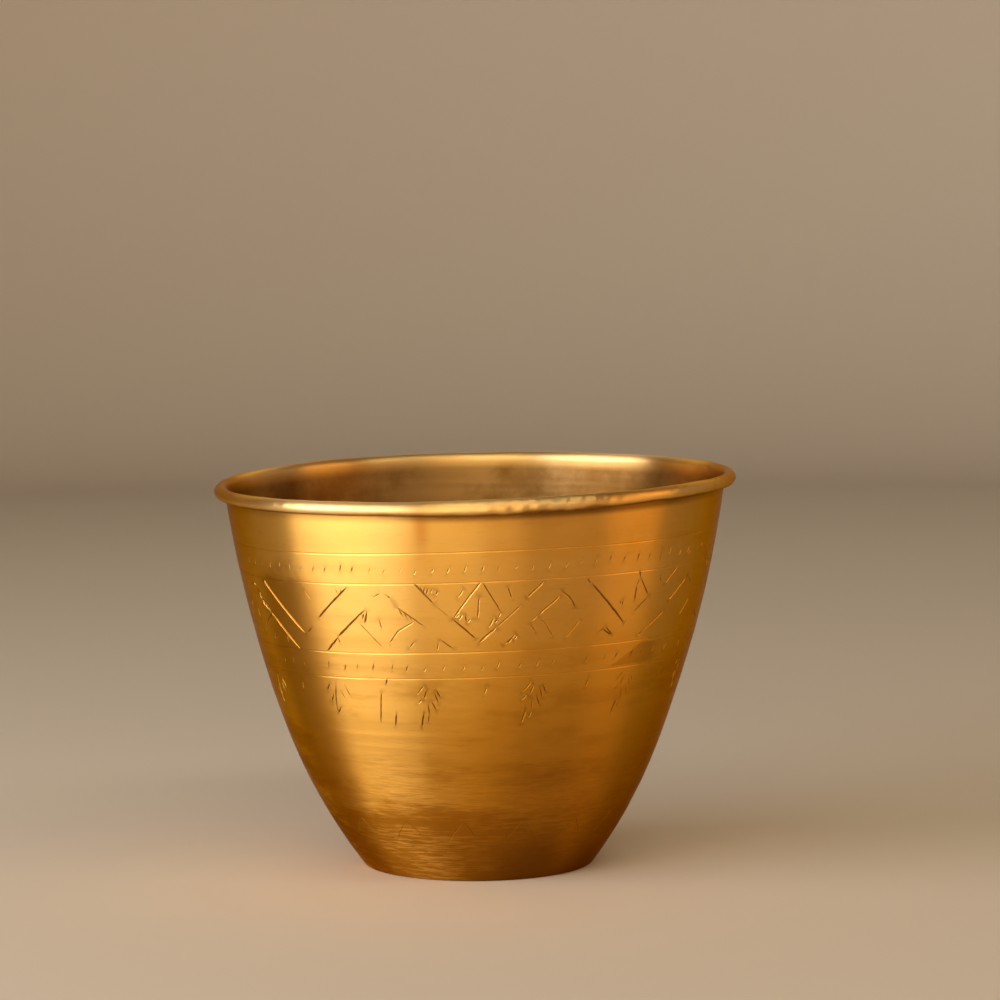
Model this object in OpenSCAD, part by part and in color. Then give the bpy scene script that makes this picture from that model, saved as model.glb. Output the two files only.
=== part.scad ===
// Brass planter pot: a spun sheet-brass shell whose rim is curled over a steel wire,
// with a brass disc soldered onto the seat turned in at its foot.
// Z is the pot's axis and points up. The origin is the centre of the foot's resting face.

/* [Pot] */
// Outside diameter over the rolled rim
rim_d = 250; // [180:1:320]
// Height from the table to the top of the rim
pot_h = 186; // [140:1:240]

/* [Wall curve] */
// Outward lean of the wall where it leaves the foot, in degrees from upright
foot_lean = 37; // [30:0.5:42]
// Lean where the lower, tighter curve meets the upper, slacker one
belly_lean = 21; // [16:0.5:25]
// Lean where the wall runs into the rim
rim_lean = 7.7; // [4:0.1:12]
// Height of the meeting of the two curves, as a share of the pot's height
belly_share = 0.326; // [0.25:0.001:0.45]

/* [Sheet] */
// Thickness of the brass sheet of the wall
wall_t = 1.2; // [0.8:0.1:1.6]
// Outside radius of the bend between the wall and the foot
foot_bend_r = 3; // [2.5:0.1:6]
// Width of the flat seat turned in at the foot, on which the pot stands
seat_w = 8; // [5:0.5:15]

/* [Rim] */
// Diameter of the stiffening wire inside the rolled rim
wire_d = 3.7; // [2:0.1:5]
// Room between the wire and the curl around it
wire_gap = 0.05; // [0.03:0.01:0.2]
// How far the sheet is curled round the wire, in degrees
curl_turn = 285; // [240:1:290]
// Gap between the two butted ends of the wire
wire_butt = 1.5; // [0.5:0.1:4]

/* [Base] */
// Thickness of the brass disc of the base
base_t = 1.2; // [0.8:0.1:2]
// Room between the disc's edge and the bend of the foot, filled by the solder
base_gap = 0.3; // [0.1:0.05:0.5]
// Width of the solder run over the disc's top
solder_w = 2.5; // [1:0.1:5]

/* [Scribed rings] */
// Heights of the scribed rings, as shares of the pot's height
ring_shares = [0.551, 0.616, 0.792, 0.867]; // [0.4:0.001:0.93]
// Width of a scribed ring at the surface
ring_w = 0.8; // [0.4:0.1:1.5]
// Depth of a scribed ring
ring_depth = 0.3; // [0.1:0.05:0.4]

/* [Hidden] */
$fn = 180;

brass = [0.78, 0.56, 0.2];
old_brass = [0.62, 0.42, 0.15];
steel = [0.55, 0.55, 0.56];
solder = [0.6, 0.6, 0.58];

curve_steps = 16;
bend_steps = 6;
curl_steps = 40;
wire_steps = 48;

// The rolled rim: its hole holds the wire, and its centre line is a circle round the axis
curl_hole_r = wire_d / 2 + wire_gap;
curl_r = curl_hole_r + wall_t;
curl_x = rim_d / 2 - curl_r;
curl_z = pot_h - curl_r;

// The wall is two tangent arcs, lower and upper, each described by its lean from upright
belly_z = pot_h * belly_share;
foot_z = foot_bend_r * (1 - sin(foot_lean));
wall_top = [curl_x - curl_hole_r * cos(rim_lean), curl_z + curl_hole_r * sin(rim_lean)];
upper_r = (wall_top.y - belly_z) / (sin(belly_lean) - sin(rim_lean));
lower_r = (belly_z - foot_z) / (sin(foot_lean) - sin(belly_lean));

// Unit vector out of the wall where it leans by angle a
function wall_normal(a) = [cos(a), -sin(a)];

// Point on the outside of the wall, in the section, where it leans by angle a
function upper_point(a) = wall_top + upper_r * (wall_normal(a) - wall_normal(rim_lean));
function lower_point(a) = upper_point(belly_lean) + lower_r * (wall_normal(a) - wall_normal(belly_lean));
function wall_out(a) = a > belly_lean ? lower_point(a) : upper_point(a);
function wall_in(a) = wall_out(a) - wall_t * wall_normal(a);

// Lean of the upper wall at height z
function lean_at(z) = asin(sin(rim_lean) + (wall_top.y - z) / upper_r);

// Leans from foot to rim, with the meeting of the two curves among them
function lean_step(i, from, to) = from + (to - from) * i / curve_steps;
leans = concat(
    [for (i = [0:curve_steps - 1]) lean_step(i, foot_lean, belly_lean)],
    [for (i = [0:curve_steps]) lean_step(i, belly_lean, rim_lean)]
);

// The bend at the foot ends inward in the flat seat
bend_centre = wall_out(foot_lean) - foot_bend_r * wall_normal(foot_lean);
foot_flat_r = bend_centre.x;
seat_inner_r = foot_flat_r - seat_w;
base_r = foot_flat_r - base_gap;
base_top = wall_t + base_t;

// The solder's face is hollow: it starts up the bend at this height over the disc
hollow_rise = solder_w / 3;

function arc(centre, r, from, to, steps) =
    [for (i = [0:steps]) let(a = from + (to - from) * i / steps) centre + r * [cos(a), sin(a)]];
function reversed(points) = [for (i = [len(points) - 1:-1:0]) points[i]];

curl_centre = [curl_x, curl_z];
curl_start = 180 - rim_lean;
curl_end = curl_start - curl_turn;

// Section of the sheet, from the seat up the outside, round the curl and down the inside
module sheet_section() {
    polygon(concat(
        [[seat_inner_r, 0]],
        arc(bend_centre, foot_bend_r, -90, -foot_lean, bend_steps),
        [for (a = leans) wall_out(a)],
        arc(curl_centre, curl_hole_r, curl_start, curl_end, curl_steps),
        reversed(arc(curl_centre, curl_r, curl_start, curl_end, curl_steps)),
        reversed([for (a = leans) wall_in(a)]),
        reversed(arc(bend_centre, foot_bend_r - wall_t, -90, -foot_lean, bend_steps)),
        [[seat_inner_r, wall_t]]
    ));
}

// V-shaped notch of a scribed ring, square to the wall at height z
module ring_notch(z) {
    a = lean_at(z);
    translate(wall_out(a))
        rotate(-a)
            polygon([[-ring_depth, 0], [ring_depth, -ring_w], [ring_depth, ring_w]]);
}

module wall_shell() {
    color(brass)
        rotate_extrude()
            difference() {
                sheet_section();
                for (share = ring_shares) ring_notch(pot_h * share);
            }
}

// Wire ring with its butted ends at the back
module rim_wire() {
    butt_angle = wire_butt / curl_x * 180 / PI;
    color(steel)
        rotate([0, 0, 90 + butt_angle / 2])
            rotate_extrude(angle = 360 - butt_angle)
                translate(curl_centre) circle(d = wire_d, $fn = wire_steps);
}

// Disc that lies on the turned-in seat and closes the pot
module base_plate() {
    color(old_brass)
        translate([0, 0, wall_t]) cylinder(r = base_r, h = base_t);
}

// Run of solder in the corner between the disc, the bend and the wall
module solder_fillet() {
    climb = wall_in(leans[1]);
    toe = [base_r - solder_w, base_top];
    hollow = [foot_flat_r, base_top + hollow_rise];
    color(solder)
        rotate_extrude()
            polygon(concat(
                [toe, [base_r, base_top], [base_r, wall_t]],
                arc(bend_centre, foot_bend_r - wall_t, -90, -foot_lean, bend_steps),
                [climb, hollow]
            ));
}

wall_shell();
rim_wire();
base_plate();
solder_fillet();
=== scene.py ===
"""The looks of the brass planter pot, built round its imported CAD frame.

Lengths in the text are millimetres and are turned into metres when a mesh is made. Angles round
the pot are 0 at the front (-Y) and grow towards +X. Heights are measured on the true, upright pot;
crooked() then gives it the slight lean and waviness of a hand-finished one.
"""

import math

import bpy
import numpy as np
from mathutils import Matrix, Vector
from mathutils.geometry import delaunay_2d_cdt


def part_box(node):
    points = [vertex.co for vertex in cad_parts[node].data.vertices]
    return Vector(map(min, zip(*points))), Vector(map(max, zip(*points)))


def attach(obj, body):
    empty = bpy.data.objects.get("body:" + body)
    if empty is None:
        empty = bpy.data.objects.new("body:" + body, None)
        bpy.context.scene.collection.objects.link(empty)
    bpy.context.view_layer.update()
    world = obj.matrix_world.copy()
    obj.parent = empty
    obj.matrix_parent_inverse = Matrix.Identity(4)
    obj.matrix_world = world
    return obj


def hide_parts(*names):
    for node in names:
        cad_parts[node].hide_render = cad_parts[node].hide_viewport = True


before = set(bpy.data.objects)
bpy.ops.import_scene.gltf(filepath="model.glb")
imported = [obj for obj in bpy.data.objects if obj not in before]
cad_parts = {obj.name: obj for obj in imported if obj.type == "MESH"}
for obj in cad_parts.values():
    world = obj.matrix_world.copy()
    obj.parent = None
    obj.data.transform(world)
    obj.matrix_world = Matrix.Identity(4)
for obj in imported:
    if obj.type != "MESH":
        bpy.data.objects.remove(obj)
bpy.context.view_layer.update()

MM = 0.001
TURN = 2 * math.pi
rng = np.random.default_rng(7)

# ---------------------------------------------------------------------------------------------
# Sizes, from the frame and from the wall's own curve
# ---------------------------------------------------------------------------------------------


def box_mm(node):
    low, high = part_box(node)
    return low / MM, high / MM


wall_high = box_mm("wall_shell")[1]
wire_low, wire_high = box_mm("rim_wire")
base_low, base_high = box_mm("base_plate")

POT_H = wall_high.z
SHEET = base_low.z
WIRE_R = (wire_high.z - wire_low.z) / 2
CURL_Z = (wire_high.z + wire_low.z) / 2
CURL_R = POT_H - CURL_Z
CURL_X = wall_high.x - CURL_R
CURL_HOLE_R = CURL_R - SHEET
CURL_TURN = math.radians(285)
BASE_R = base_high.x
BASE_TOP = base_high.z
FOOT_BEND_R = 3.0
SEAT_W = 8.0

# How far the wall leans out from upright at the foot, at the belly and under the rim.
FOOT_LEAN = math.radians(37)
BELLY_LEAN = math.radians(21)
RIM_LEAN = math.radians(7.7)
BELLY_Z = 0.326 * POT_H

# The scribed rings.
RINGS = [0.551 * POT_H, 0.616 * POT_H, 0.792 * POT_H, 0.867 * POT_H]
RING_W = 0.9
RING_DEPTH = 0.14


def out_of_wall(lean):
    """Unit vector (radius, height) out of the wall where it leans by that angle from upright."""
    return np.stack([np.cos(lean), -np.sin(lean)], -1)


def wall_section(lean):
    """(radius, height) of the outside of the wall where it leans by that angle."""
    lean = np.asarray(lean, float)
    top = np.array([CURL_X, CURL_Z]) - CURL_HOLE_R * out_of_wall(RIM_LEAN)
    upper_r = (top[1] - BELLY_Z) / (math.sin(BELLY_LEAN) - math.sin(RIM_LEAN))
    foot_z = FOOT_BEND_R * (1 - math.sin(FOOT_LEAN))
    lower_r = (BELLY_Z - foot_z) / (math.sin(FOOT_LEAN) - math.sin(BELLY_LEAN))
    upper = top + upper_r * (out_of_wall(np.minimum(lean, BELLY_LEAN)) - out_of_wall(RIM_LEAN))
    lower = lower_r * (out_of_wall(np.maximum(lean, BELLY_LEAN)) - out_of_wall(BELLY_LEAN))
    return upper + lower


FINE_LEANS = np.linspace(FOOT_LEAN, RIM_LEAN, 4000)
FINE_HEIGHTS = wall_section(FINE_LEANS)[:, 1]
WALL_FOOT_Z, WALL_TOP_Z = FINE_HEIGHTS[0], FINE_HEIGHTS[-1]


def lean_at(height):
    return np.interp(height, FINE_HEIGHTS, FINE_LEANS)


def radius_at(height):
    return wall_section(lean_at(height))[..., 0]


# ---------------------------------------------------------------------------------------------
# Hand-made unevenness
# ---------------------------------------------------------------------------------------------

# The height at which the lean of the rim and rings has grown to its full size.
RISE_GROWN_AT = 90.0
# Dents start at this height, so that the foot stays true, and are full this far above it.
DENTS_FROM, DENTS_GROW_OVER = 8, 20


def smoothstep(t):
    t = np.clip(t, 0, 1)
    return t * t * (3 - 2 * t)


def crooked(points):
    """The whole pot stands and closes a little unevenly: the rim and rings rise to the right."""
    x, y, z = points.T
    angle = np.arctan2(x, -y)
    wall_r = radius_at(np.clip(z, WALL_FOOT_Z, WALL_TOP_Z))
    share = smoothstep(z / RISE_GROWN_AT) * np.hypot(x, y) / wall_r
    rise = 1.2 - 2.1 * np.cos(angle) + 2.3 * np.sin(angle)
    rise = rise + 0.5 * np.sin(2 * angle) + 0.3 * np.cos(2 * angle)
    return np.stack([x, y, z + share * rise], -1)


def dents(angle, height):
    """How far the wall stands proud of its true curve, from spinning and from use."""
    slow = 0.10 * np.sin(3 * angle + height / 31 + 1.3) * np.sin(height / 23)
    slow += 0.05 * np.sin(5 * angle - height / 17 + 0.4)
    spun = 0.018 * np.sin(height / 1.9 + 0.8 * np.sin(angle)) + 0.022 * np.sin(height / 3.4 + 1.0)
    proud = slow + spun * (1 + 0.5 * np.sin(height / 13))
    return proud * smoothstep((height - DENTS_FROM) / DENTS_GROW_OVER)


def revolve(radius, height, angle):
    return np.stack([radius * np.sin(angle), -radius * np.cos(angle), height + 0 * angle], -1)


def wall_point(angle, height, depth=0.0):
    """Point of the outside of the wall, depth below its surface."""
    lean = lean_at(height)
    section = wall_section(lean) + (dents(angle, height) - depth)[..., None] * out_of_wall(lean)
    return crooked(revolve(section[..., 0], section[..., 1], angle))


def wall_normals(angle, height):
    """Unit normals of the unmarked outside of the wall."""
    step_a, step_h = 0.002, 0.2
    around = wall_point(angle + step_a, height) - wall_point(angle - step_a, height)
    upward = wall_point(angle, height + step_h) - wall_point(angle, height - step_h)
    normal = np.cross(around, upward)
    return normal / np.linalg.norm(normal, axis=-1, keepdims=True)


# ---------------------------------------------------------------------------------------------
# The chased pattern. A stroke is (width, depth, points), with points in degrees round and height.
# ---------------------------------------------------------------------------------------------

# The zigzag band is three motifs drawn by hand, each with angles from the bottom of its V.
MOTIF_LEFT = [
    (1.45, 0.38, [(-13.9, 146), (0.1, 123)]),
    (1.60, 0.39, [(-18.3, 139.5), (-3.4, 115)]),
    (0.90, 0.23, [(0.9, 123.5), (3.0, 126.5)]),
    (1.10, 0.30, [(5.8, 131), (15.5, 146)]),
    (1.00, 0.29, [(6.5, 115.2), (10.9, 122.3)]),
    (1.10, 0.32, [(11.1, 122.8), (15.6, 129.5), (19.8, 135.8)]),
    (0.80, 0.27, [(22.6, 142), (23.9, 143.5)]),
    (0.80, 0.27, [(25.7, 143), (26.7, 141.2)]),
    (1.10, 0.30, [(27.8, 137.5), (34.4, 128)]),
    (0.95, 0.26, [(38.0, 122), (41.3, 117.2)]),
    (0.70, 0.20, [(2.5, 144), (4.2, 139)]),
    (0.70, 0.20, [(12.4, 145), (12.8, 143)]),
    (0.70, 0.20, [(13.9, 145), (13.6, 142.6)]),
    (1.00, 0.24, [(20.3, 135.2), (19.2, 129.2)]),
    (0.75, 0.24, [(19.3, 134.2), (18.8, 131)]),
    (0.80, 0.27, [(28.5, 136), (29.4, 133)]),
    (0.80, 0.27, [(29.6, 135), (30.4, 132)]),
    (0.75, 0.24, [(30.8, 133.6), (31.4, 131)]),
    (0.70, 0.18, [(17.8, 129.5), (23.4, 118)]),
    (0.90, 0.24, [(25.2, 120), (27.8, 126), (32.1, 130.5)]),
    (0.80, 0.27, [(30.1, 117.5), (31.9, 121.5)]),
    (0.90, 0.21, [(23.3, 131.5), (23.6, 126.5)]),
    (0.75, 0.21, [(37.7, 121.5), (37.2, 116.5)]),
    (0.70, 0.20, [(10.9, 122.5), (11.3, 119)]),
]
MOTIF_MIDDLE = [
    (1.10, 0.35, [(-14.2, 148.2), (-9.8, 138.5)]),
    (0.65, 0.19, [(-9.4, 137.5), (-6.2, 132.2)]),
    (1.00, 0.34, [(-5.6, 131.6), (-0.1, 121.8)]),
    (1.20, 0.36, [(0.5, 119.8), (4.9, 126.8)]),
    (0.85, 0.24, [(4.6, 126.4), (10.6, 136.6)]),
    (1.00, 0.32, [(11.7, 139.4), (15.8, 147)]),
    (0.95, 0.31, [(6.5, 118), (9.6, 123.2)]),
    (0.90, 0.32, [(9.9, 122.2), (9.0, 120.3)]),
    (0.80, 0.26, [(8.6, 120.9), (7.4, 118.7)]),
    (1.05, 0.33, [(14.6, 131.2), (20.0, 139.8)]),
    (0.70, 0.20, [(12.8, 128.0), (14.8, 131.5)]),
    (1.00, 0.34, [(20.4, 141.6), (22.4, 138.4), (24.0, 134.4)]),
    (0.90, 0.30, [(23.2, 136.6), (23.9, 133.6)]),
    (0.95, 0.31, [(32.3, 122), (35.1, 118.5)]),
    (1.05, 0.35, [(1.1, 148.0), (-1.7, 141.2), (-5.4, 131.6)]),
    (0.90, 0.30, [(1.5, 148), (4.1, 139.4), (6.0, 133.4)]),
    (0.85, 0.30, [(5.9, 133.4), (5.0, 131.2)]),
    (0.90, 0.34, [(4.9, 130.6), (4.5, 128.6)]),
    (0.80, 0.29, [(0.8, 141.6), (0.3, 131)]),
    (0.75, 0.26, [(-2.7, 145.4), (-4.2, 141.0)]),
    (0.80, 0.29, [(7.3, 145.6), (8.4, 139.4)]),
    (0.90, 0.28, [(-4.8, 131.8), (-3.9, 134.0)]),
    (0.90, 0.28, [(-4.1, 130.6), (-3.1, 133.6)]),
    (0.95, 0.36, [(-2.5, 133.4), (-2.3, 129.4)]),
    (0.85, 0.28, [(-2.2, 129.2), (-1.2, 131.4)]),
    (1.00, 0.30, [(4.4, 131.8), (2.9, 126.4)]),
    (0.75, 0.26, [(-12.9, 146.6), (-12.2, 144.4)]),
    (0.75, 0.26, [(-11.8, 146.2), (-12.2, 143.2)]),
    (0.75, 0.26, [(-11.0, 146.0), (-11.5, 142.8)]),
    (0.70, 0.22, [(-10.1, 145.8), (-10.5, 143.4)]),
    (0.80, 0.29, [(-8.8, 144.6), (-9.3, 142.6)]),
    (0.75, 0.26, [(13.0, 127.4), (14.4, 123.0)]),
    (0.70, 0.22, [(15.2, 130), (17.1, 125.8), (18.9, 120.4)]),
    (0.75, 0.20, [(25.7, 127.6), (22.0, 119.4)]),
    (0.65, 0.14, [(11.2, 144.8), (11.5, 142)]),
]
MOTIF_RIGHT = [
    (1.10, 0.32, [(-11.8, 143.8), (-1.0, 123.4)]),
    (0.75, 0.22, [(-13.2, 146.6), (-12.1, 143.8)]),
    (0.75, 0.20, [(1.6, 128.2), (3.1, 130.6)]),
    (1.10, 0.36, [(2.8, 130.2), (6.1, 135)]),
    (1.10, 0.30, [(11.2, 139.4), (15.8, 147)]),
    (0.85, 0.22, [(4.2, 116.2), (8.6, 121.2), (13.2, 126.4)]),
    (1.10, 0.32, [(14.2, 130.8), (20.9, 140.4)]),
    (0.80, 0.22, [(21.4, 122.2), (25.2, 129.4)]),
    (0.90, 0.28, [(1.5, 147.8), (2.2, 144)]),
    (0.85, 0.28, [(2.5, 143.6), (5.6, 135.6)]),
    (0.95, 0.28, [(1.3, 140.6), (1.3, 133.4)]),
    (0.75, 0.18, [(1.9, 144), (1.2, 140)]),
    (0.80, 0.28, [(-2.5, 134.8), (-2.3, 131.8)]),
    (0.80, 0.24, [(-3.4, 134.2), (-2.9, 133)]),
    (0.85, 0.28, [(9.3, 143.4), (9.5, 141.4)]),
    (0.80, 0.20, [(22.0, 141.5), (25.0, 136.5)]),
    (0.75, 0.16, [(19.4, 151.4), (20.6, 153.6)]),
    (0.95, 0.28, [(33.0, 122), (36.0, 118)]),
    (0.90, 0.26, [(-6.6, 123), (-4.0, 118.2)]),
    (0.75, 0.20, [(-8.8, 120.4), (-6.9, 122.6)]),
]
# Where each V of the band stands. Those seen at the front are exact, and the rest are looser.
FRONT_WITHIN = 60
MOTIFS = [
    (-46.5, MOTIF_LEFT), (0.3, MOTIF_MIDDLE), (40.0, MOTIF_RIGHT), (86.0, MOTIF_MIDDLE),
    (131.5, MOTIF_LEFT), (177.0, MOTIF_RIGHT), (222.5, MOTIF_MIDDLE), (268.0, MOTIF_LEFT),
]

# Two kinds of spray hang under the lowest ring. Their points are offsets along the wall, and
# heights, both in millimetres.
SPRAY = [
    (0.85, 0.26, [(-0.3, 100.2), (-4.6, 95.2)]),
    (1.00, 0.30, [(0.9, 98.4), (-1.1, 93.2)]),
    (0.90, 0.28, [(-2.0, 94.0), (-4.4, 91.4)]),
    (1.05, 0.30, [(5.1, 98.2), (7.0, 94.0)]),
    (0.85, 0.26, [(3.8, 97.0), (5.6, 91.2)]),
    (0.90, 0.28, [(2.6, 93.0), (4.8, 87.6)]),
    (0.90, 0.28, [(0.7, 92.0), (0.9, 86.0)]),
    (0.80, 0.26, [(0.7, 86.6), (-0.3, 82.4)]),
    (1.20, 0.38, [(-1.8, 87.2), (-3.6, 80.0)]),
]
STEM_SPRAY = [
    (0.85, 0.28, [(2.2, 99.6), (-0.1, 91), (-0.4, 84.8)]),
    (0.95, 0.30, [(2.7, 88.8), (-0.2, 85.0)]),
    (0.90, 0.28, [(-1.4, 99.8), (-3.8, 96.4)]),
    (0.90, 0.28, [(-0.4, 94.4), (-2.9, 90.4)]),
    (0.80, 0.20, [(7.4, 98.6), (9.6, 93.8)]),
    (0.70, 0.16, [(5.0, 96.2), (6.7, 92.2)]),
]
SPRAYS = 13
SPRAY_START = -40.8
SPRAY_WALL_R = 99
BETWEEN_SPRAYS = 14.9
DASH_START = -40.1
UPPER_DASHES, UPPER_DASH_Z = 94, 152.6
LOWER_DASHES, LOWER_DASH_Z = 78, 106.6
FOOT_PEAKS = 17
FOOT_START = -26
FOOT_LINE = (0.6, 0.10)
STRAY_SCRATCH = (0.45, 0.11, [(14, 59.4), (21, 59.8), (29, 59.5)])
BAND_MIDDLE_Z = 130
# A stroke as deep as this, or deeper, is full of dirt.
DEEP_CUT = 0.30
# Nothing shallower than this is cut.
FLAT_ENOUGH = 1e-4


def shaken(size, amount):
    return rng.uniform(-amount, amount, size)


def pattern_strokes(radius):
    """Every stroke of the band, its dashes and its sprays, as (width, depth, flat points)."""
    strokes = []

    def add(width, depth, points):
        flat = [(math.radians(angle) * radius, height) for angle, height in points]
        strokes.append((width, depth, np.array(flat)))

    for centre, motif in MOTIFS:
        loose = 0.0 if abs(centre) < FRONT_WITHIN else 0.5
        for width, depth, points in motif:
            da, dh = shaken(2, loose)
            add(width, depth, [(centre + a + da, h + dh) for a, h in points])
    for i in range(UPPER_DASHES):
        angle = DASH_START + (i + shaken(None, 0.13)) * 360 / UPPER_DASHES
        low, tall = UPPER_DASH_Z + shaken(None, 0.7), 3.2 + shaken(None, 0.8)
        add(0.85, 0.10 + 0.12 * rng.random(), [(angle - 0.35, low), (angle + 0.3, low + tall)])
    for i in range(LOWER_DASHES):
        angle = DASH_START + (i + shaken(None, 0.15)) * 360 / LOWER_DASHES
        low, tall = LOWER_DASH_Z + shaken(None, 0.5), 3.4 + shaken(None, 0.7)
        add(0.9, 0.10 + 0.12 * rng.random(), [(angle - 0.4, low), (angle + 0.35, low + tall)])
    for i in range(SPRAYS):
        centre = SPRAY_START + i * 360 / SPRAYS
        spray = STEM_SPRAY if i % 4 == 0 else SPRAY
        faint = 0.45 if i % 4 == 3 else 1.0
        for width, depth, points in spray:
            dx, dh = shaken(2, 0.25)
            placed = [(centre + math.degrees((x + dx) / SPRAY_WALL_R), h + dh) for x, h in points]
            add(width, depth * faint, placed)
        between = centre + BETWEEN_SPRAYS
        if i % 5 == 0:
            add(0.8, 0.22, [(between + 0.5, 97.0), (between - 1.1, 82.0)])
            add(0.95, 0.28, [(between + 4.1, 86.8), (between + 3.1, 80.4)])
            add(0.9, 0.28, [(between + 2.8, 103.4), (between + 2.1, 100.6)])
        else:
            add(0.85, 0.24, [(between + 1.1, 99.4), (between + 0.3, 94.4)])
    return strokes


def foot_strokes(radius):
    """The faint zigzag near the foot, and one stray scratch above it."""
    strokes = []
    for i in range(FOOT_PEAKS):
        peak = math.radians(FOOT_START + i * 360 / FOOT_PEAKS) * radius
        rise, fall, tip = 10.0 + shaken(None, 1), 6.5 + shaken(None, 1), 31 + shaken(None, 0.8)
        strokes.append((*FOOT_LINE, np.array([(peak - rise, tip - 11), (peak - 0.6, tip)])))
        strokes.append((*FOOT_LINE, np.array([(peak + 0.4, tip + 0.5), (peak + fall, tip - 8)])))
    width, depth, points = STRAY_SCRATCH
    scratch = [(math.radians(angle) * radius, height) for angle, height in points]
    strokes.append((width, depth, np.array(scratch)))
    return strokes


def hand_cut(width, depth, points, step=1.8):
    """A stroke's centre line cut into short steps, with its half width and depth at each."""
    along = np.r_[0, np.cumsum(np.linalg.norm(np.diff(points, axis=0), axis=1))]
    count = max(3, int(round(along[-1] / step)))
    t = np.linspace(0, 1, count + 1)
    line = np.stack([np.interp(t * along[-1], along, points[:, k]) for k in (0, 1)], -1)
    direction = np.gradient(line, axis=0)
    direction /= np.linalg.norm(direction, axis=1, keepdims=True)
    side = np.stack([-direction[:, 1], direction[:, 0]], -1)
    line[1:-1] += side[1:-1] * shaken(count - 1, 0.07)[:, None]
    swell = np.minimum(1, np.minimum(t / 0.1 + 0.35, (1 - t) / 0.16 + 0.3))
    swell *= 1 + shaken(count + 1, 0.16)
    return line, side, swell * width / 2, swell * depth


def groove_depth(flat, cuts):
    """Depth of the V grooves under each flat point: the deepest of the strokes there."""
    depth = np.zeros(len(flat))
    order = np.argsort(flat[:, 0])
    sorted_s = flat[order, 0]
    for line, _, half, deep in cuts:
        for i in range(len(line) - 1):
            a, b = line[i], line[i + 1]
            reach = max(half[i], half[i + 1])
            first = np.searchsorted(sorted_s, min(a[0], b[0]) - reach)
            last = np.searchsorted(sorted_s, max(a[0], b[0]) + reach)
            near = order[first:last]
            if not len(near):
                continue
            d = b - a
            t = np.clip(((flat[near] - a) @ d) / (d @ d), 0, 1)
            away = np.linalg.norm(flat[near] - a - t[:, None] * d, axis=1)
            width = half[i] + t * (half[i + 1] - half[i])
            here = (deep[i] + t * (deep[i + 1] - deep[i])) * (1 - away / width)
            depth[near] = np.maximum(depth[near], here)
    return np.where(depth < FLAT_ENOUGH, 0, depth)


def ring_line(height, flat_s, radius):
    """Height of a scribed ring, which wanders. The two below the band droop to the right."""
    angle = flat_s / radius
    wander = 0.3 + 0.55 * np.cos(3 * angle) + 0.06 * np.sin(5 * angle + 2 * height)
    droop = 0.5 * np.sin(angle) if height < BAND_MIDDLE_Z else 0
    return height + wander - droop


def ring_depth(flat, rings, radius):
    depth = np.zeros(len(flat))
    for height in rings:
        away = np.abs(flat[:, 1] - ring_line(height, flat[:, 0], radius))
        depth = np.maximum(depth, RING_DEPTH * (1 - away / (RING_W / 2)))
    return np.where(depth < FLAT_ENOUGH, 0, depth)


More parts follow.
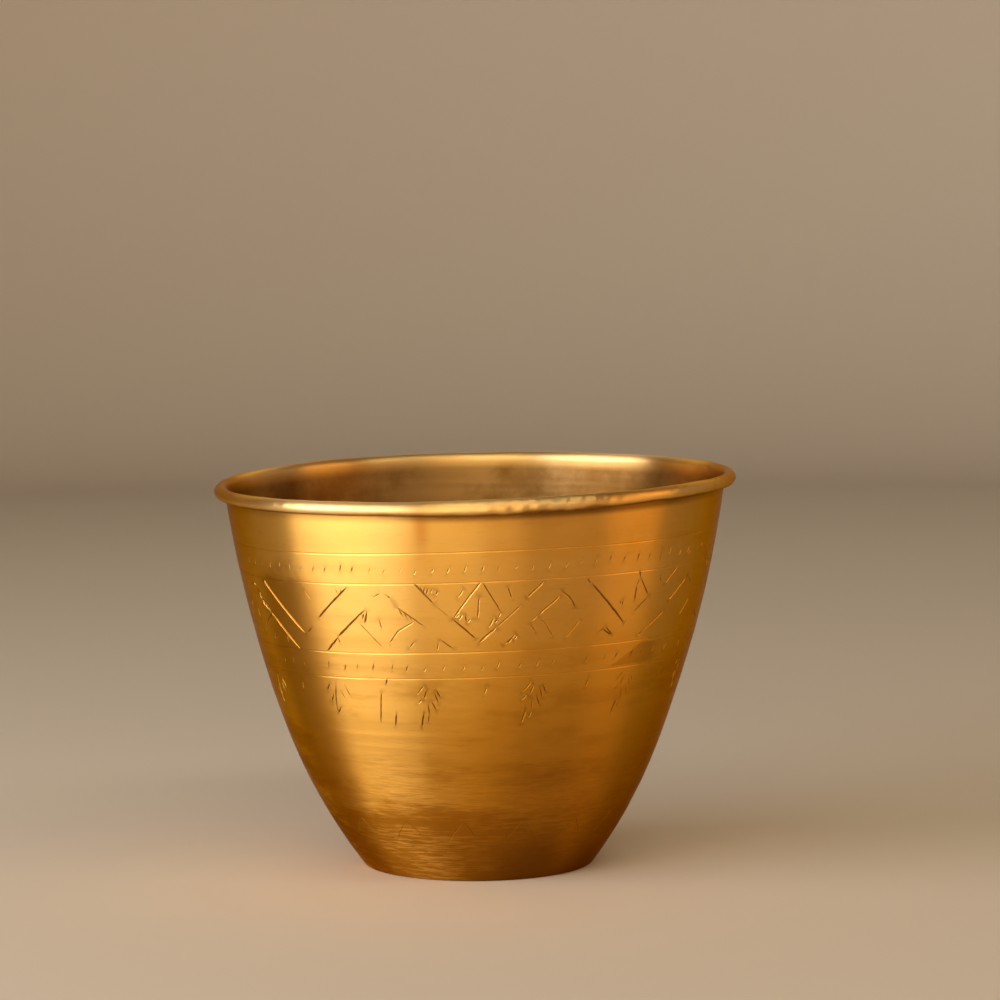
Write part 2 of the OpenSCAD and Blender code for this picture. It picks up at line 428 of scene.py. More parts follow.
def engraved_band(low, high, radius, strokes, rings, columns, spacing):
    """Triangulated band of the wall round the pot, with its grooves.

    Returns flat points (distance round at that radius, height), their depths, the depths of the
    strokes alone, the triangles and, for each triangle, whether it lies in a groove. The two edges
    are divided into the columns of the rows above and below, and the band meets itself at the back.
    """
    half_turn = math.pi * radius
    column_s = -half_turn + np.arange(columns + 1) * 2 * half_turn / columns
    points, edges = [], []

    def add_chain(chain, closed=False):
        first = len(points)
        points.extend(map(tuple, chain))
        edges.extend((first + i, first + i + 1) for i in range(len(chain) - 1))
        if closed:
            edges.append((len(points) - 1, first))

    for edge_height in (low, high):
        add_chain(np.stack([column_s, np.full(columns + 1, edge_height)], -1))
    rows = max(2, int(round((high - low) / spacing)))
    for s in (-half_turn, half_turn):
        add_chain([(s, h) for h in np.linspace(low, high, rows + 1)])
    ring_s = np.linspace(-half_turn, half_turn, columns + 1)
    for height in rings:
        for shift in (-RING_W / 2, 0, RING_W / 2):
            add_chain(np.stack([ring_s, ring_line(height, ring_s, radius) + shift], -1))

    cuts = []
    for width, depth, line in strokes:
        cut = hand_cut(width, depth, line)
        for turn in (-2 * half_turn, 0, 2 * half_turn):
            moved = cut[0] + [turn, 0]
            if moved[:, 0].max() > -half_turn - 2 and moved[:, 0].min() < half_turn + 2:
                cuts.append((moved, cut[1], cut[2], cut[3]))
    for line, side, half, _ in cuts:
        left = line[1:-1] + side[1:-1] * half[1:-1, None]
        right = line[1:-1] - side[1:-1] * half[1:-1, None]
        add_chain(np.vstack([line[:1], left, line[-1:], right[::-1]]), closed=True)
        add_chain(line)

    fill = []
    for row in range(1, rows):
        height = low + row * (high - low) / rows
        count = int(2 * half_turn / spacing)
        offset = 0.5 * (row % 2)
        for i in range(count):
            fill.append((-half_turn + (i + 0.25 + offset) * 2 * half_turn / count, height))
    fill = np.array(fill)
    wide = [(line, side, half + 0.6, np.ones_like(half)) for line, side, half, _ in cuts]
    clear = groove_depth(fill, wide) == 0
    for height in rings:
        clear &= np.abs(fill[:, 1] - ring_line(height, fill[:, 0], radius)) > RING_W
    points.extend(map(tuple, fill[clear & (np.abs(fill[:, 0]) < half_turn - 0.5)]))

    made = delaunay_2d_cdt([Vector(p) for p in points], edges, [], 0, 1e-4)
    flat = np.array([tuple(v) for v in made[0]])
    triangles = np.array([f for f in made[2] if len(f) == 3])
    middle = flat[triangles].mean(1)
    inside = (np.abs(middle[:, 0]) < half_turn) & (middle[:, 1] > low) & (middle[:, 1] < high)
    triangles = triangles[inside]
    a, b, c = (flat[triangles[:, k]] for k in range(3))
    area = (b[:, 0] - a[:, 0]) * (c[:, 1] - a[:, 1]) - (b[:, 1] - a[:, 1]) * (c[:, 0] - a[:, 0])
    triangles = np.where((area < 0)[:, None], triangles[:, ::-1], triangles)

    grime = groove_depth(flat, cuts)
    depth = np.maximum(grime, ring_depth(flat, rings, radius))
    middle = flat[triangles].mean(1)
    cut_here = np.maximum(groove_depth(middle, cuts), ring_depth(middle, rings, radius)) > 0
    return flat, depth, grime, triangles, cut_here


# ---------------------------------------------------------------------------------------------
# Meshes
# ---------------------------------------------------------------------------------------------


def new_piece(name, points, faces, material):
    """A smooth-shaded piece that rides on the pot's one body. The points are in millimetres."""
    mesh = bpy.data.meshes.new(name)
    mesh.from_pydata((np.asarray(points) * MM).tolist(), [], [tuple(map(int, f)) for f in faces])
    mesh.shade_smooth()
    mesh.materials.append(material)
    piece = bpy.data.objects.new(name, mesh)
    bpy.context.scene.collection.objects.link(piece)
    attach(piece, "root")
    return piece


def quads_between(row_a, row_b):
    """Quads that join two closed rows of point numbers."""
    return np.stack([row_a, np.roll(row_a, -1), np.roll(row_b, -1), row_b], -1)


COLUMNS = 480
ANGLES = -math.pi + np.arange(COLUMNS) * TURN / COLUMNS
# Heights of the wall's plain rows and of its two engraved bands (low, high, spacing), and the rows
# under the rim with how much dirt and painted shade each gets.
FOOT_ROWS = [4, 6, 8, 10.5, 13, 16]
FOOT_BAND = (16, 64, 3.4)
WAIST_ROWS = [67, 70, 73, 76, 78]
CHASED_BAND = (78, 165, 3.0)
NECK_ROWS = [167.5, 170, 172.5, 175]
RIM_ROWS = [(176.3, 0.3), (177.5, 0.6), (178.7, 0.8), (179.8, 1), (WALL_TOP_Z, 1)]
CURL_STEPS_IN, CURL_STEPS_OUT = 19, 31
UPPER_STEPS_IN, LOWER_STEPS_IN = 22, 16
BEND_STEPS_OUT, BEND_STEPS_IN = 9, 7
EDGE_ANGLE = math.radians(32)


def bead_swell(angle, share):
    """How far the rolled rim stands proud: uneven rolling, and lumps where it is torn."""
    swell = 0.10 * np.sin(7 * angle + 0.5) + 0.07 * np.sin(13 * angle + 2.0)
    swell += 0.06 * np.sin(29 * angle) * np.sin(3 * angle + 1)
    torn = 0.12 + np.exp(-(((angle - 0.28) / 0.24) ** 2))
    torn = torn + 0.5 * np.exp(-(((angle - 1.2) / 0.3) ** 2))
    lumps = np.sin(41 * angle + 4 * share) * np.sin(67 * angle - 9 * share + 1)
    lumps = lumps + 0.5 * np.sin(97 * angle + 14 * share)
    return swell + 0.26 * torn * lumps * smoothstep((share - 0.25) / 0.2)


def lip_sag(angle, share):
    """How far the lower half of the rolled rim has opened out at the front, where it is torn."""
    return 1.15 * np.exp(-(((angle - 0.17) / 0.5) ** 4)) * smoothstep((share - 0.52) / 0.3)


def lip_turn(angle):
    """How far the sheet is curled round the wire. Its raw edge is worst at the front right."""
    worst = np.exp(-(((angle - 0.25) / 0.35) ** 2))
    rag = 0.10 * np.sin(9 * angle + 1) + 0.07 * np.sin(23 * angle) + 0.05 * np.sin(47 * angle + 2)
    bitten = 0.25 * worst * (0.5 + 0.5 * np.sin(31 * angle))
    return CURL_TURN - 0.06 + rag * (0.45 + 0.9 * worst) - bitten


def rim_dirt_and_shade(angle):
    """How much dirt and painted shade there is under the rolled rim: most of it is at the front
    right.
    """
    return 0.4 + 0.6 * np.exp(-(((angle - 0.35) / 0.6) ** 4))


def curl_row(share, outside):
    """A row of points round the rim, at a share of the way round the curl."""
    start = math.pi - RIM_LEAN
    turn = start - share * lip_turn(ANGLES)
    radius = CURL_HOLE_R
    if outside:
        radius = CURL_R + bead_swell(ANGLES, share) * smoothstep(share / 0.3)
    radius = radius + lip_sag(ANGLES, share)
    across = CURL_X + radius * np.cos(turn)
    return crooked(revolve(across, CURL_Z + radius * np.sin(turn), ANGLES))


def wall_rows(heights):
    return [wall_point(ANGLES, np.full(COLUMNS, h)) for h in heights]


def inner_rows(leans):
    rows = []
    for lean in leans:
        radius, height = wall_section(lean) - SHEET * out_of_wall(lean)
        proud = dents(ANGLES, np.full(COLUMNS, height))
        across = radius + proud * math.cos(lean)
        rows.append(crooked(revolve(across, np.full(COLUMNS, height), ANGLES)))
    return rows


def bend_rows(radius, steps):
    """The bend at the foot, from the flat seat up to the wall."""
    centre = wall_section(FOOT_LEAN) - FOOT_BEND_R * out_of_wall(FOOT_LEAN)
    rows = []
    for turn in np.linspace(-math.pi / 2, -FOOT_LEAN, steps):
        across, height = centre + radius * np.array([math.cos(turn), math.sin(turn)])
        rows.append(crooked(revolve(np.full(COLUMNS, across), np.full(COLUMNS, height), ANGLES)))
    return rows, centre[0]


def build_wall(material):
    """The whole skin: seat, bend, engraved outside, rolled rim and inside, as one closed sheet.

    Faces are kept in blocks: the point numbers, whether the block is an engraved band and, if it
    is, its normals and which of its faces are cut.
    """
    points, faces, grooves = [], [], []

    def add_points(block):
        first = sum(len(p) for p in points)
        points.append(block)
        return first

    def add_rows(rows, last):
        """Adds rows of points and joins them to the last row. Returns the new last row."""
        for row in rows:
            numbers = add_points(row) + np.arange(COLUMNS)
            if last is not None:
                faces.append((quads_between(last, numbers), False, None))
            last = numbers
        return last

    def add_band(low, high, spacing, strokes_of, rings, last):
        """Adds an engraved band above the last row. Returns the row at its upper edge."""
        radius = float(radius_at((low + high) / 2))
        flat, depth, grime, triangles, cut_here = engraved_band(
            low, high, radius, strokes_of(radius), rings, COLUMNS, spacing)
        half_turn = math.pi * radius
        angle = flat[:, 0] / radius
        numbers = np.full(len(flat), -1)
        column = np.round((angle + math.pi) / (TURN / COLUMNS)).astype(int) % COLUMNS
        at_low = np.abs(flat[:, 1] - low) < 1e-3
        at_high = np.abs(flat[:, 1] - high) < 1e-3
        numbers[at_low] = last[column[at_low]]
        top = add_points(wall_rows([high])[0]) + np.arange(COLUMNS)
        numbers[at_high] = top[column[at_high]]
        seam = np.abs(np.abs(flat[:, 0]) - half_turn) < 1e-3
        left = np.where(seam & (flat[:, 0] < 0) & (numbers < 0))[0]
        right = np.where(seam & (flat[:, 0] > 0) & (numbers < 0))[0]
        used = np.zeros(len(flat), bool)
        used[triangles.ravel()] = True
        fresh = np.where((numbers < 0) & used & ~(seam & (flat[:, 0] > 0)))[0]
        first = add_points(wall_point(angle[fresh], flat[fresh, 1], depth[fresh]))
        numbers[fresh] = first + np.arange(len(fresh))
        grooves.append((numbers[fresh], grime[fresh]))
        for i in right:
            nearest = left[np.argmin(np.abs(flat[left, 1] - flat[i, 1]))]
            numbers[i] = numbers[nearest]
        normals = wall_normals(angle, flat[:, 1])
        faces.append((numbers[triangles], True, (normals[triangles], cut_here)))
        return top

    bend, seat_r = bend_rows(FOOT_BEND_R, BEND_STEPS_OUT)
    seat = crooked(revolve(np.full(COLUMNS, seat_r - SEAT_W), np.zeros(COLUMNS), ANGLES))
    last = add_rows([seat] + bend, None)
    first_row = np.arange(COLUMNS)
    last = add_rows(wall_rows(FOOT_ROWS), last)
    last = add_band(*FOOT_BAND, foot_strokes, [], last)
    last = add_rows(wall_rows(WAIST_ROWS), last)
    last = add_band(*CHASED_BAND, pattern_strokes, RINGS, last)
    last = add_rows(wall_rows(NECK_ROWS), last)
    # Under the rolled rim the wall is darkened: dirt, and painted shade where the rim overhangs it.
    for height, dirt_and_shade in RIM_ROWS:
        last = add_rows(wall_rows([height]), last)
        grooves.append((last, dirt_and_shade * DEEP_CUT * rim_dirt_and_shade(ANGLES)))
    shares = np.linspace(0, 1, CURL_STEPS_IN)[1:]
    last = add_rows([curl_row(share, False) for share in shares], last)
    # Round the outside of the rolled rim, the lip next to the wall is darkened as painted shade,
    # and the top is lightened as rubbed wear with a painted highlight.
    rolled = []
    for share in np.linspace(1, 0, CURL_STEPS_OUT):
        last = add_rows([curl_row(share, True)], last)
        grooves.append((last, np.full(COLUMNS, DEEP_CUT * smoothstep((share - 0.68) / 0.22))))
        rolled.append((last, smoothstep((0.88 - share) / 0.2)))
    inner_leans = np.concatenate([
        np.linspace(RIM_LEAN, BELLY_LEAN, UPPER_STEPS_IN)[1:],
        np.linspace(BELLY_LEAN, FOOT_LEAN, LOWER_STEPS_IN)[1:]])
    inner_first = sum(len(p) for p in points)
    last = add_rows(inner_rows(inner_leans), last)
    inner_bend, _ = bend_rows(FOOT_BEND_R - SHEET, BEND_STEPS_IN)
    seat_top = crooked(revolve(np.full(COLUMNS, seat_r - SEAT_W), np.full(COLUMNS, SHEET), ANGLES))
    last = add_rows(inner_bend[::-1][1:] + [seat_top], last)
    faces.append((quads_between(last, first_row), False, None))

    points = np.vstack(points)
    polygons = [f for block, _, _ in faces for f in block]
    piece = new_piece("pot_wall", points, polygons, material)
    mesh = piece.data
    # The second of these marks dirt in the cuts and painted shade under the rolled rim; the third
    # marks the rubbed top of the rim with its painted highlight.
    inner, grime, worn = (np.zeros(len(points), np.float32) for _ in range(3))
    inner[inner_first:] = 1
    for numbers, depth in grooves:
        grime[numbers] = np.minimum(depth / DEEP_CUT, 1)
    for numbers, amount in rolled:
        worn[numbers] = amount
    for name, values in (("inner", inner), ("grime", grime), ("worn", worn)):
        mesh.attributes.new(name, "FLOAT", "POINT").data.foreach_set("value", values)
    mesh.set_sharp_from_angle(angle=EDGE_ANGLE)
    loop_normals = []
    for block, banded, marks in faces:
        if not banded:
            loop_normals.append(np.zeros((block.size, 3)))
            continue
        normals, cut_here = marks
        normals = normals.copy()
        corners = points[block]
        flat_normal = np.cross(corners[:, 1] - corners[:, 0], corners[:, 2] - corners[:, 0])
        length = np.maximum(np.linalg.norm(flat_normal, axis=1, keepdims=True), 1e-12)
        normals[cut_here] = (flat_normal / length)[cut_here][:, None, :]
        loop_normals.append(normals.reshape(-1, 3))
    mesh.normals_split_custom_set(np.vstack(loop_normals).tolist())
    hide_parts("wall_shell")


def build_wire(material):
    """The stiffening wire, with its two cut ends butted at the back."""
    around, ring = 240, 20
    gap = 1.5 / CURL_X
    angles = np.linspace(-math.pi + gap / 2, math.pi - gap / 2, around)
    turns = np.arange(ring) * TURN / ring
    points = []
    for i, angle in enumerate(angles):
        end = min(i, around - 1 - i)
        radius = WIRE_R * (0.9 if end == 0 else 1.0)
        across, height = CURL_X + radius * np.cos(turns), CURL_Z + radius * np.sin(turns)
        points.append(crooked(revolve(across, height, np.full(ring, angle))))
    faces = []
    for i in range(around - 1):
        for j in range(ring):
            k = (j + 1) % ring
            a, b = i * ring, (i + 1) * ring
            faces.append((a + j, b + j, b + k, a + k))
    faces.append(tuple(range(ring)))
    faces.append(tuple((around - 1) * ring + j for j in reversed(range(ring))))
    piece = new_piece("rim_stiffening_wire", np.vstack(points), faces, material)
    piece.data.set_sharp_from_angle(angle=math.radians(40))
    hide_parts("rim_wire")


def build_solder(material):
    """The run of solder round the base disc: lumpy, and thicker where it pooled."""
    around, steps = 300, 12
    angles = -math.pi + np.arange(around) * TURN / around
    lump = 0.35 * np.sin(5 * angles + 1) + 0.25 * np.sin(11 * angles)
    lump = lump + 0.2 * np.sin(31 * angles + 2)
    toe = BASE_R - 2.6 - lump
    foot = wall_section(FOOT_LEAN) - SHEET * out_of_wall(FOOT_LEAN)
    climb_lean = FOOT_LEAN - math.radians(1.0) - 0.01 * lump
    climb = wall_section(climb_lean) - (SHEET - 0.02) * out_of_wall(climb_lean)
    rows = [np.stack([toe, np.full(around, BASE_TOP + 0.01)], -1)]
    for t in np.linspace(0, 1, steps)[1:]:
        start = np.stack([toe, np.full(around, BASE_TOP)], -1)
        line = start + t * (climb - start)
        sag = math.sin(math.pi * t) * (1.1 + 0.15 * lump)
        rows.append(line + sag[:, None] * np.array([0.5, -0.8]))
    rows.append(np.tile(foot + [-0.05, -0.4], (around, 1)))
    rows.append(np.tile([BASE_R - 0.4, SHEET + 0.5], (around, 1)))
    rows.append(np.tile([BASE_R - 1.5, BASE_TOP - 0.4], (around, 1)))
    points = np.vstack([crooked(revolve(row[:, 0], row[:, 1], angles)) for row in rows])
    faces = []
    for i in range(len(rows)):
        a = i * around + np.arange(around)
        b = ((i + 1) % len(rows)) * around + np.arange(around)
        faces.extend(quads_between(b, a))
    piece = new_piece("base_solder_run", points, faces, material)
    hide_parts("solder_fillet")


# ---------------------------------------------------------------------------------------------
# Materials
# ---------------------------------------------------------------------------------------------


class Nodes:
    """Short names for building one material's node tree."""

    def __init__(self, name):
        self.material = bpy.data.materials.new(name)
        self.material.use_nodes = True
        self.tree = self.material.node_tree
        self.shader = self.tree.nodes["Principled BSDF"]

    def wire(self, source, socket):
        if isinstance(source, (int, float)):
            socket.default_value = source
        elif isinstance(source, tuple):
            opaque = (*source, 1) if len(source) < len(socket.default_value) else source
            socket.default_value = opaque
        else:
            self.tree.links.new(source, socket)

    def add(self, kind, settings=None, **inputs):
        node = self.tree.nodes.new(kind)
        for key, value in (settings or {}).items():
            setattr(node, key, value)
        for key, value in inputs.items():
            self.wire(value, node.inputs[key.replace("_", " ")])
        return node

    def place(self):
        return self.add("ShaderNodeTexCoord").outputs["Object"]

    def stretched(self, scale):
        node = self.add("ShaderNodeMapping", Vector=self.place())
        node.inputs["Scale"].default_value = scale
        return node.outputs["Vector"]

    def noise(self, scale, detail=4.0, roughness=0.55):
        return self.add(
            "ShaderNodeTexNoise", Vector=self.stretched(scale), Scale=1.0,
            Detail=detail, Roughness=roughness).outputs["Fac"]

    def ramp(self, value, low, high, to_low=0.0, to_high=1.0):
        """A smooth step from to_low, where the value is low, to to_high, where it is high."""
        return self.add(
            "ShaderNodeMapRange", {"interpolation_type": "SMOOTHSTEP"}, Value=value,
            From_Min=low, From_Max=high, To_Min=to_low, To_Max=to_high).outputs["Result"]

    def math(self, operation, a, b=0.0, c=0.0):
        node = self.tree.nodes.new("ShaderNodeMath")
        node.operation = operation
        for value, socket in zip((a, b, c), node.inputs):
            self.wire(value, socket)
        return node.outputs[0]

    def total(self, first, *rest):
        for value in rest:
            first = self.math("ADD", first, value)
        return first

    def product(self, first, *rest):
        for value in rest:
            first = self.math("MULTIPLY", first, value)
        return first

    def away(self, value, centre):
        return self.math("ABSOLUTE", self.math("SUBTRACT", value, centre))

    def mix(self, share, a, b):
        node = self.tree.nodes.new("ShaderNodeMix")
        node.data_type = "RGBA"
        sockets = {s.identifier: s for s in node.inputs}
        self.wire(share, sockets["Factor_Float"])
        self.wire(a, sockets["A_Color"])
        self.wire(b, sockets["B_Color"])
        return next(s for s in node.outputs if s.identifier == "Result_Color")

    def attribute(self, name):
        return self.add("ShaderNodeAttribute", {"attribute_name": name}).outputs["Fac"]

    def split(self):
        return self.add("ShaderNodeSeparateXYZ", Vector=self.place()).outputs

    def bump(self, height, distance, strength=1.0):
        node = self.add("ShaderNodeBump", Height=height, Strength=strength, Distance=distance)
        return node.outputs["Normal"]

    def finish(self, **inputs):
        for key, value in inputs.items():
            self.wire(value, self.shader.inputs[key.replace("_", " ")])
        return self.material


# Brass where it is clean and where it is warmer; brown and nearly black brass, which is tarnish in
# some places and painted shade in others.
BRASS_BRIGHT = (0.78, 0.445, 0.108)
BRASS_WARM = (0.68, 0.335, 0.036)
BRASS_BROWN = (0.34, 0.135, 0.010)
TARNISH_AND_SHADE = (0.15, 0.055, 0.006)
# Its colour where it is seen edge on, where the rim is rubbed pale and lightened as a painted
# highlight, and where the inside has gone dull.
BRASS_EDGE = (0.72, 0.47, 0.24)
BRASS_WORN_HIGHLIGHT = (0.90, 0.62, 0.27)
INSIDE_PALE = (0.50, 0.29, 0.11)
INSIDE_DARK = (0.26, 0.12, 0.03)
STEEL = (0.42, 0.41, 0.40)
RUST = (0.20, 0.13, 0.09)
SOLDER = (0.46, 0.45, 0.44)
SOLDER_DULL = (0.25, 0.22, 0.19)
# How much of the brass's colour is hidden by the dirt in a deep cut, and by the painted shade under
# the rolled rim.
DARKEST_GRIME_AND_SHADE = 0.75

# Heights in the materials are metres.
# A darker patch of painted reflection between the two lower rings at the right, with a slanting
# left end.
PATCH_LOW, PATCH_HIGH, PATCH_EDGE = 0.1045, 0.1150, 0.0008
PATCH_FROM, PATCH_TO = math.radians(36), math.radians(50)
PATCH_SLANT = math.radians(10) / (PATCH_HIGH - PATCH_LOW)
# The side where the wall is browner, partly patina and partly painted shade; a broad painted shade
# at the left; and a brown run under the rim.
SHADED_BROWN_SIDE = math.radians(58)
PAINTED_SHADE_AT = math.radians(-51)
RUN_AT = math.radians(-11.6)
RUN_COLOUR = (0.55, 0.20, 0.025)


def turned_brass(name):
    """Satin brass, polished round and round, darker and warmer towards the foot: partly tarnish,
    partly painted shade.
    """
    n = Nodes(name)
    x, y, z = n.split()
    fine = n.noise((5, 5, 2400), detail=3, roughness=0.6)
    coarse = n.noise((9, 9, 420), detail=4, roughness=0.6)
    broad = n.noise((16, 16, 60), detail=4, roughness=0.6)
    short = n.noise((105, 105, 1250), detail=4, roughness=0.6)
    cloud = n.noise((26, 26, 26), detail=5, roughness=0.62)
    speckle = n.noise((900, 900, 900), detail=2)
    blotch = n.math("SUBTRACT", cloud, 0.5)
    layer = n.math("SUBTRACT", broad, 0.5)

    # Where a point is: its direction round the pot, how near it is to the browner side, and its
    # height, shifted about so that no edge between colours is level.
    turn = n.math("ARCTAN2", x, n.product(y, -1.0))
    shaded_brown_side = n.math("COSINE", n.math("SUBTRACT", turn, SHADED_BROWN_SIDE))
    wavy_z = n.total(z, n.product(layer, 0.02))
    drift = n.total(wavy_z, n.product(blotch, 0.05))
    # Lower down the brass is darker, partly from tarnish and partly as painted shade.
    low_down = n.ramp(drift, 0.082, 0.008)

    # Clean brass, warmer lower down and on the browner side, in part as painted shade.
    warm = n.total(
        n.product(n.ramp(drift, 0.152, 0.062), n.ramp(shaded_brown_side, 0.0, 0.8, 0.4, 1.0)),
        n.ramp(shaded_brown_side, 0.3, 1.0, 0, 0.35),
        n.ramp(cloud, 0.48, 0.75, 0, 0.3),
        n.ramp(broad, 0.48, 0.72, 0, 0.25))
    colour = n.mix(n.math("MINIMUM", warm, 1.0), BRASS_BRIGHT, BRASS_WARM)

    # Streaks, a band near the foot, specks and smudges of brown, gathering lower down, where the
    # darkening is partly painted shade.
    brown = n.total(
        n.product(low_down, n.ramp(short, 0.34, 0.66, 0.15, 0.95)),
        n.product(low_down, n.ramp(broad, 0.40, 0.62, -0.2, 0.35)),
        n.ramp(short, 0.56, 0.72, 0, 0.12),
        n.ramp(wavy_z, 0.0355, 0.0325, 0, 0.3),
        n.ramp(speckle, 0.70, 0.80, 0, 0.25),
        n.product(n.ramp(broad, 0.50, 0.66, 0, 0.38), n.ramp(drift, 0.125, 0.085)))
    colour = n.mix(n.math("MAXIMUM", n.math("MINIMUM", brown, 1.0), 0.0), colour, BRASS_BROWN)

    # The browner side, nearly black at the foot: partly patina, partly painted shade on the side
    # away from the light.
    brown = n.product(n.ramp(shaded_brown_side, -0.2, 1.0), n.ramp(z, 0.125, 0.040, 0, 0.65))
    colour = n.mix(brown, colour, BRASS_BROWN)
    black = n.product(
        n.ramp(shaded_brown_side, 0.1, 0.9, 0.1, 1.0), n.ramp(drift, 0.042, 0.004, 0, 0.74))
    colour = n.mix(black, colour, TARNISH_AND_SHADE)

    # The painted shade down the left, the run under the rim and the painted darker reflection at
    # the right.
    painted_shade = n.product(
        n.ramp(n.away(turn, PAINTED_SHADE_AT), 0.26, 0.10), n.ramp(drift, 0.158, 0.144, 0, 0.65))
    colour = n.mix(painted_shade, colour, BRASS_BROWN)
    run = n.product(n.ramp(n.away(turn, RUN_AT), 0.05, 0.0), n.ramp(z, 0.152, 0.174, 0, 0.55))
    colour = n.mix(run, colour, RUN_COLOUR)
    left_edge = n.math("MULTIPLY_ADD", n.math("SUBTRACT", z, PATCH_LOW), PATCH_SLANT, PATCH_FROM)
    painted_reflection_patch = n.product(
        n.ramp(n.math("SUBTRACT", turn, left_edge), 0.0, 0.02),
        n.ramp(turn, PATCH_TO + 0.09, PATCH_TO),
        n.ramp(z, PATCH_LOW, PATCH_LOW + PATCH_EDGE),
        n.ramp(z, PATCH_HIGH, PATCH_HIGH - PATCH_EDGE, 0, 0.42))
    colour = n.mix(painted_reflection_patch, colour, BRASS_BROWN)

    # Brass rubbed pale on the rim with a painted highlight on its top, dirt in the cuts and painted
    # shade under the rolled rim, and the dull inside.
    worn = n.product(
        n.attribute("worn"), n.ramp(broad, 0.35, 0.6, 0.55, 0.95),
        n.ramp(shaded_brown_side, 0.78, 0.97, 1.0, 0.45))
    colour = n.mix(worn, colour, BRASS_WORN_HIGHLIGHT)
    colour = n.mix(n.ramp(n.attribute("grime"), 0.0, 0.7, 0, DARKEST_GRIME_AND_SHADE), colour, TARNISH_AND_SHADE)
    inner = n.attribute("inner")
    dull = n.mix(n.ramp(cloud, 0.35, 0.65), INSIDE_PALE, INSIDE_DARK)
    colour = n.mix(n.product(inner, 0.85), colour, dull)

    roughness = n.total(
        n.ramp(coarse, 0.3, 0.7, 0.33, 0.40), n.product(low_down, 0.04),
        n.product(blotch, 0.08), n.product(inner, 0.18))
    relief = n.total(
        n.product(fine, 0.7), n.product(coarse, 0.5),
        n.product(short, n.ramp(z, 0.10, 0.02, 0.3, 0.55)))
    tangent = n.add("ShaderNodeTangent", {"direction_type": "RADIAL", "axis": "Z"})
    return n.finish(
        Base_Color=colour, Metallic=1.0, Roughness=roughness, Specular_Tint=BRASS_EDGE,
        Anisotropic=0.95, Anisotropic_Rotation=0.25,
        Tangent=tangent.outputs["Tangent"], Normal=n.bump(relief, 0.00006, 0.6))


def dull_brass(name):
    """The base disc's brass, never polished."""
    n = Nodes(name)
    cloud = n.noise((30, 30, 30), detail=6, roughness=0.65)
    grain = n.noise((700, 700, 700), detail=3)
    colour = n.mix(n.ramp(cloud, 0.35, 0.7), BRASS_WARM, BRASS_BROWN)
    colour = n.mix(n.ramp(grain, 0.6, 0.8, 0, 0.4), colour, TARNISH_AND_SHADE)
    return n.finish(
        Base_Color=colour, Metallic=1.0, Roughness=n.ramp(cloud, 0.3, 0.7, 0.42, 0.58),
        Normal=n.bump(grain, 0.00005, 0.5))


def plain_steel(name):
    """The wire's steel, with a little rust."""
    n = Nodes(name)
    cloud = n.noise((60, 60, 60), detail=5, roughness=0.6)
    colour = n.mix(n.ramp(cloud, 0.4, 0.7), STEEL, RUST)
    return n.finish(Base_Color=colour, Metallic=1.0, Roughness=n.ramp(cloud, 0.3, 0.7, 0.4, 0.6))


def old_solder(name):
    """Soft solder, gone grey."""
    n = Nodes(name)
    cloud = n.noise((90, 90, 90), detail=5, roughness=0.6)
    grain = n.noise((900, 900, 900), detail=3)
    colour = n.mix(n.ramp(cloud, 0.4, 0.65), SOLDER, SOLDER_DULL)
    return n.finish(
        Base_Color=colour, Metallic=1.0, Roughness=n.ramp(cloud, 0.3, 0.7, 0.38, 0.55),
        Normal=n.bump(grain, 0.0001, 0.6))


def plain(name, colour):
    return Nodes(name).finish(Base_Color=colour, Roughness=0.9)


# ---------------------------------------------------------------------------------------------
# Room, light and camera
# ---------------------------------------------------------------------------------------------


# The floor is flat to this radius, then sweeps up to a wall of this height, in metres.
FLOOR_R = 2.3
SWEEP_R = 0.6
SWEEP_TOP = 2.4


def build_room():
    """A round pale floor that sweeps up into a plain wall on every side."""
    around, steps = 96, 12
    profile = [(FLOOR_R * t, 0.0) for t in np.linspace(0.02, 1, 6)]
    for turn in np.linspace(0, math.pi / 2, steps)[1:]:
        profile.append((FLOOR_R + SWEEP_R * math.sin(turn), SWEEP_R * (1 - math.cos(turn))))
    profile.append((FLOOR_R + SWEEP_R, SWEEP_TOP))
    angles = np.arange(around) * TURN / around
    points = np.vstack([
        revolve(np.full(around, radius), np.full(around, height), angles)
        for radius, height in profile])
    faces = [tuple(range(around))]
    row = np.arange(around)
    for i in range(len(profile) - 1):
        faces.extend(quads_between(i * around + row, (i + 1) * around + row))
    mesh = bpy.data.meshes.new("floor")
    mesh.from_pydata(points.tolist(), [], [tuple(map(int, f)) for f in faces])
    mesh.shade_smooth()
    mesh.materials.append(plain("floor_paint", FLOOR_PAINT))
    floor = bpy.data.objects.new("floor", mesh)
    bpy.context.scene.collection.objects.link(floor)


def soft_panel(name, from_azimuth, to_azimuth, low, high, distance, strength, spread, colour):
    """An upright soft light that fills the view from the pot between two azimuths and two heights.

    Azimuths are in degrees, 0 at the front and growing to the right. Heights and the distance from
    the pot are in metres, strength is in watts per square metre, and spread is in degrees.
    """
    half = math.radians(to_azimuth - from_azimuth) / 2
    middle = math.radians(from_azimuth + to_azimuth) / 2
    light = bpy.data.lights.new(name, "AREA")
    light.shape = "RECTANGLE"
    light.size, light.size_y = 2 * distance * math.tan(half), high - low
    light.energy = strength * light.size * light.size_y
    light.spread = math.radians(spread)
    light.color = colour
    place = Vector((distance * math.sin(middle), -distance * math.cos(middle), (low + high) / 2))
    lamp = bpy.data.objects.new(name, light)
    lamp.location = place
    lamp.rotation_euler = Vector((-place.x, -place.y, 0)).to_track_quat("-Z", "Y").to_euler()
    lamp.visible_camera = False
    bpy.context.scene.collection.objects.link(lamp)


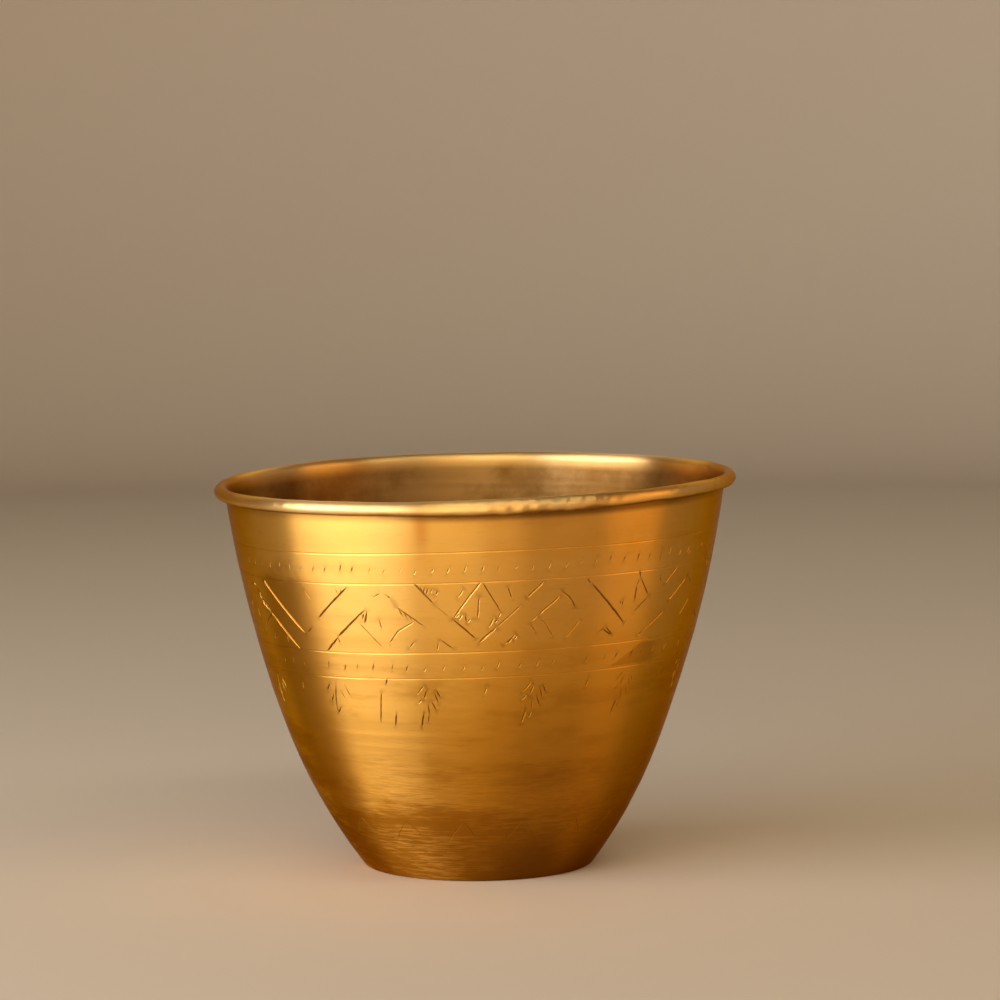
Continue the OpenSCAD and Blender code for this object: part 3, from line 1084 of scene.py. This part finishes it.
FLOOR_PAINT = (0.67, 0.60, 0.515)
ROOM_GLOW = (0.06, 0.05, 0.04)
DAYLIGHT = (1.0, 0.95, 0.94)
CREAM_LIGHT = (1.0, 0.90, 0.66)
HALF_LIGHT = (1.0, 0.78, 0.48)
DIM_LIGHT = (1.0, 0.64, 0.28)
DARK_LIGHT = (1.0, 0.42, 0.06)
ROOM_LIGHT = (1.0, 0.53, 0.15)
# Name, from and to azimuth, low and high edge, distance, strength, spread and colour.
SOFT_PANELS = [
    ("window_left", -91, -30, 0.05, 1.15, 2.0, 9.8, 110, DAYLIGHT),
    ("room_left", -30, 5, 0.05, 1.15, 2.2, 4.85, 120, HALF_LIGHT),
    ("room_middle", 5, 22, 0.05, 1.15, 2.2, 2.9, 120, DIM_LIGHT),
    ("room_right", 22, 63, 0.05, 1.15, 2.2, 0.95, 120, DARK_LIGHT),
    ("window_right", 63, 93, 0.05, 1.15, 2.0, 2.9, 120, ROOM_LIGHT),
    ("strip_above", -26, 60, 1.25, 1.9, 1.3, 10.5, 180, CREAM_LIGHT),
    ("room_back", 150, 214, 1.2, 2.2, 2.2, 2.4, 180, CREAM_LIGHT),
]


def build_light():
    world = bpy.data.worlds.new("room")
    world.use_nodes = True
    world.node_tree.nodes["Background"].inputs["Color"].default_value = (*ROOM_GLOW, 1)
    bpy.context.scene.world = world
    for panel in SOFT_PANELS:
        soft_panel(*panel)


# Where the photographer stood, and how the camera is tipped down and rolled, in degrees.
CAMERA_PLACE = (11.8, -1800.0, 326.6)
CAMERA_PITCH = 4.81
CAMERA_ROLL = -0.5
CAMERA_LENS = 135.34


def build_camera():
    data = bpy.data.cameras.new("camera")
    data.sensor_width = 36
    data.lens = CAMERA_LENS
    data.clip_start, data.clip_end = 0.05, 50
    camera = bpy.data.objects.new("camera", data)
    tilt = Matrix.Rotation(math.radians(90 - CAMERA_PITCH), 4, "X")
    roll = Matrix.Rotation(math.radians(CAMERA_ROLL), 4, "Z")
    camera.matrix_world = Matrix.Translation(Vector(CAMERA_PLACE) * MM) @ tilt @ roll
    bpy.context.scene.collection.objects.link(camera)
    bpy.context.scene.camera = camera


# ---------------------------------------------------------------------------------------------

build_wall(turned_brass("satin_brass"))
build_wire(plain_steel("wire_steel"))
build_solder(old_solder("soft_solder"))
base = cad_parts["base_plate"]
base.data.materials.clear()
base.data.materials.append(dull_brass("base_brass"))

build_room()
build_light()
build_camera()
bpy.context.scene.view_settings.view_transform = "Standard"
